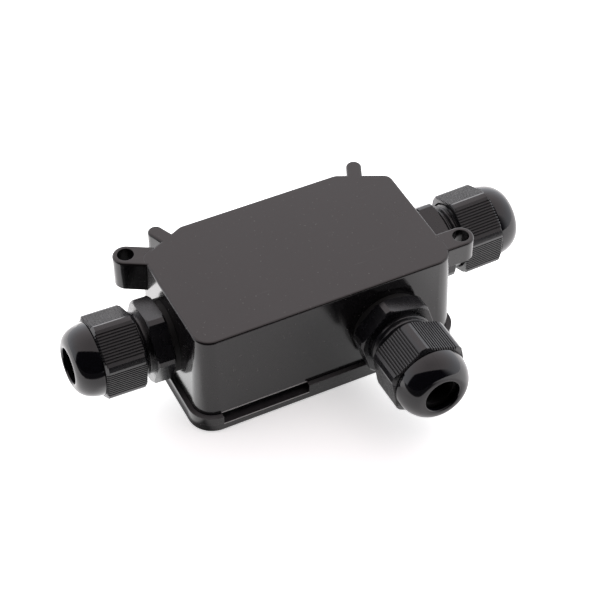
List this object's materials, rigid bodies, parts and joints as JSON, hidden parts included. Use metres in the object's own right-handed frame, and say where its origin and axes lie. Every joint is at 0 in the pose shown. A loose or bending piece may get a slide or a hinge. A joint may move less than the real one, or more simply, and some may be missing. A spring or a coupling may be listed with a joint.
{
  "type": "cable junction box",
  "caption": "Small black waterproof junction box with a screwed-on lid, mounting lugs and domed cable glands on its ends and on one side.",
  "frame": {"origin": "on the lid's outer face, under the centre of the back plate", "axes": "+X along the box from the left gland to the right one, +Y to the side away from the front gland, +Z from the lid to the back plate"},
  "size_m": [0.1218, 0.0717, 0.0291],
  "materials": {
    "box_plastic": "smooth moulded, glossy black",
    "gland_nylon": "moulded black nylon, semi-gloss",
    "rubber": "matt black rubber",
    "block_nylon": "natural white nylon",
    "brass": "plain turned",
    "steel": "zinc plated"
  },
  "bodies": {
    "box": {"housing": "box_plastic", "mounting_lug_left": "box_plastic", "mounting_lug_right": "box_plastic", "lid": "box_plastic", "lid_gasket": "rubber", "lid_screw_1": "steel", "lid_screw_2": "steel", "lid_screw_3": "steel", "lid_screw_4": "steel", "left_gland_body": "gland_nylon", "left_gland_washer": "rubber", "left_gland_locknut": "gland_nylon", "right_gland_body": "gland_nylon", "right_gland_washer": "rubber", "right_gland_locknut": "gland_nylon", "front_gland_body": "gland_nylon", "front_gland_washer": "rubber", "front_gland_locknut": "gland_nylon", "terminal_block": "block_nylon", "terminal_clamp_1": "brass", "terminal_clamp_2": "brass", "terminal_clamp_3": "brass", "fixing_screw_1": "steel", "fixing_screw_2": "steel"},
    "left_insert": {"left_gland_claws": "gland_nylon", "left_gland_seal": "rubber"},
    "left_nut": {"left_gland_nut": "gland_nylon"},
    "right_insert": {"right_gland_claws": "gland_nylon", "right_gland_seal": "rubber"},
    "right_nut": {"right_gland_nut": "gland_nylon"},
    "front_insert": {"front_gland_claws": "gland_nylon", "front_gland_seal": "rubber"},
    "front_nut": {"front_gland_nut": "gland_nylon"},
    "clamp_screw_1": {"terminal_screw_1": "steel"},
    "clamp_screw_2": {"terminal_screw_2": "steel"},
    "clamp_screw_3": {"terminal_screw_3": "steel"},
    "clamp_screw_4": {"terminal_screw_4": "steel"},
    "clamp_screw_5": {"terminal_screw_5": "steel"},
    "clamp_screw_6": {"terminal_screw_6": "steel"}
  },
  "joints": [
    {"name": "left_nut_travel", "type": "slide", "parent": "box", "child": "left_insert", "axis": [-0.9995, 0, 0.0332], "range_m": [0, 0.0045]},
    {"name": "left_nut_turn", "type": "hinge", "parent": "left_insert", "child": "left_nut", "pos_m": [-0.03466, 0, 0.0151], "axis": [-0.9995, 0, 0.0332], "range_deg": [0, 1080]},
    {"name": "right_nut_travel", "type": "slide", "parent": "box", "child": "right_insert", "axis": [0.9995, 0, 0.0332], "range_m": [-0.0012, 0.0033]},
    {"name": "right_nut_turn", "type": "hinge", "parent": "right_insert", "child": "right_nut", "pos_m": [0.03466, 0, 0.0151], "axis": [0.9995, 0, 0.0332], "range_deg": [-288, 792]},
    {"name": "front_nut_travel", "type": "slide", "parent": "box", "child": "front_insert", "axis": [0, -0.9995, 0.0332], "range_m": [-0.0024, 0.0021]},
    {"name": "front_nut_turn", "type": "hinge", "parent": "front_insert", "child": "front_nut", "pos_m": [0.0156, -0.02051, 0.0151], "axis": [0, -0.9995, 0.0332], "range_deg": [-576, 504]},
    {"name": "clamp_screw_1_travel", "type": "slide", "parent": "box", "child": "clamp_screw_1", "axis": [0, 0, 1], "range_m": [0, 0.0025]},
    {"name": "clamp_screw_2_travel", "type": "slide", "parent": "box", "child": "clamp_screw_2", "axis": [0, 0, 1], "range_m": [0, 0.0025]},
    {"name": "clamp_screw_3_travel", "type": "slide", "parent": "box", "child": "clamp_screw_3", "axis": [0, 0, 1], "range_m": [0, 0.0025]},
    {"name": "clamp_screw_4_travel", "type": "slide", "parent": "box", "child": "clamp_screw_4", "axis": [0, 0, 1], "range_m": [0, 0.0025]},
    {"name": "clamp_screw_5_travel", "type": "slide", "parent": "box", "child": "clamp_screw_5", "axis": [0, 0, 1], "range_m": [0, 0.0025]},
    {"name": "clamp_screw_6_travel", "type": "slide", "parent": "box", "child": "clamp_screw_6", "axis": [0, 0, 1], "range_m": [0, 0.0025]}
  ],
  "couplings": [
    {"joint": "left_nut_travel", "follows": "left_nut_turn", "m_per_rad": 0.00023873},
    {"joint": "right_nut_travel", "follows": "right_nut_turn", "m_per_rad": 0.00023873},
    {"joint": "front_nut_travel", "follows": "front_nut_turn", "m_per_rad": 0.00023873}
  ]
}
